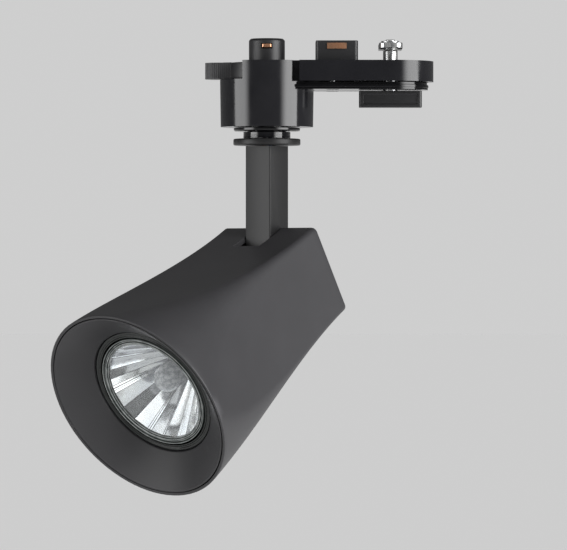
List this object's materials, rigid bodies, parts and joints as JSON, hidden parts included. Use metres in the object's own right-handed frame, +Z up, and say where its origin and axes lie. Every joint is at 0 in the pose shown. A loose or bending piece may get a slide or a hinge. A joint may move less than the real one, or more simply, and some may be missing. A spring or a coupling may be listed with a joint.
{
  "type": "track spotlight",
  "caption": "Black track adapter with a contact lever and lock knob, a square stem that pans, and a tilting grey head that turns from a rectangle into a round bell around a reflector lamp.",
  "frame": {"origin": "on the pan axis, in the plane where the adapter meets the underside of the track", "axes": "+Z up into the track, +X along the adapter arm away from the stem, -Y towards the front"},
  "size_m": [0.1556, 0.1254, 0.1863],
  "materials": {
    "gloss_plastic": "polished black moulding",
    "matte_plastic": "fine matte black moulding",
    "painted_metal": "fine-textured dark grey powder coat",
    "steel": "zinc-plated steel",
    "copper": "copper alloy contact strip",
    "brass": "plain brass",
    "ceramic": "unglazed white ceramic",
    "glass": "clear glass",
    "mirror": "faceted dichroic mirror coating on glass",
    "fibre": "vulcanised fibre",
    "brown_sheath": "brown lead sheath",
    "blue_sheath": "blue lead sheath"
  },
  "bodies": {
    "adapter": {"adapter_housing": "gloss_plastic", "arm_cover": "gloss_plastic", "cover_screw_1": "steel", "cover_screw_2": "steel", "track_insert": "matte_plastic", "earth_contact": "copper", "terminal_block": "ceramic", "terminal_screw_1": "steel", "terminal_screw_2": "steel", "contact_base": "matte_plastic", "pan_bush": "gloss_plastic"},
    "contact_lever": {"contact_lever": "matte_plastic", "live_contact": "copper", "neutral_contact": "copper"},
    "lock": {"lock_knob": "matte_plastic", "lock_shaft": "steel", "lock_cam": "steel", "cam_clip": "steel"},
    "stem": {"pan_spindle": "gloss_plastic", "pan_nut": "steel", "pan_washer": "steel", "stem_flange": "painted_metal", "stem_tube": "painted_metal", "stem_lead_live": "brown_sheath", "stem_lead_neutral": "blue_sheath"},
    "head": {"head_housing": "painted_metal", "tilt_bracket_1": "steel", "tilt_bracket_2": "steel", "bracket_screw_1": "steel", "bracket_screw_2": "steel", "tilt_axle": "steel", "tilt_nut": "steel", "friction_washer_1": "fibre", "friction_washer_2": "fibre", "lampholder": "ceramic", "holder_plate": "steel", "holder_screw_1": "steel", "holder_screw_2": "steel", "lamp_lead_live": "brown_sheath", "lamp_lead_neutral": "blue_sheath", "bezel_cone": "painted_metal", "bezel_clip_1": "steel", "bezel_clip_2": "steel", "bezel_clip_3": "steel", "lamp_ring": "gloss_plastic"},
    "lamp": {"lamp_reflector": "mirror", "lamp_glass": "glass", "lamp_capsule": "glass", "lamp_base": "ceramic", "lamp_pin_1": "brass", "lamp_pin_2": "brass"}
  },
  "joints": [
    {"name": "pan", "type": "hinge", "parent": "adapter", "child": "stem", "pos_m": [0, 0, -0.03], "axis": [0, 0, 1], "range_deg": [-175, 175]},
    {"name": "tilt", "type": "hinge", "parent": "stem", "child": "head", "pos_m": [0, 0, -0.0858], "axis": [0.7638, -0.6455, 0], "range_deg": [-31, 59]},
    {"name": "lock_turn", "type": "hinge", "parent": "adapter", "child": "lock", "pos_m": [0.0508, 0, 0], "axis": [0, 0, 1], "range_deg": [0, 90]},
    {"name": "lever_swing", "type": "hinge", "parent": "adapter", "child": "contact_lever", "pos_m": [0, 0, 0], "axis": [0, 0, 1], "range_deg": [0, 36]},
    {"name": "lamp_twist", "type": "hinge", "parent": "head", "child": "lamp", "pos_m": [0.0078, 0.00923, -0.08495], "axis": [-0.5533, -0.6547, -0.515], "range_deg": [0, 25]}
  ]
}
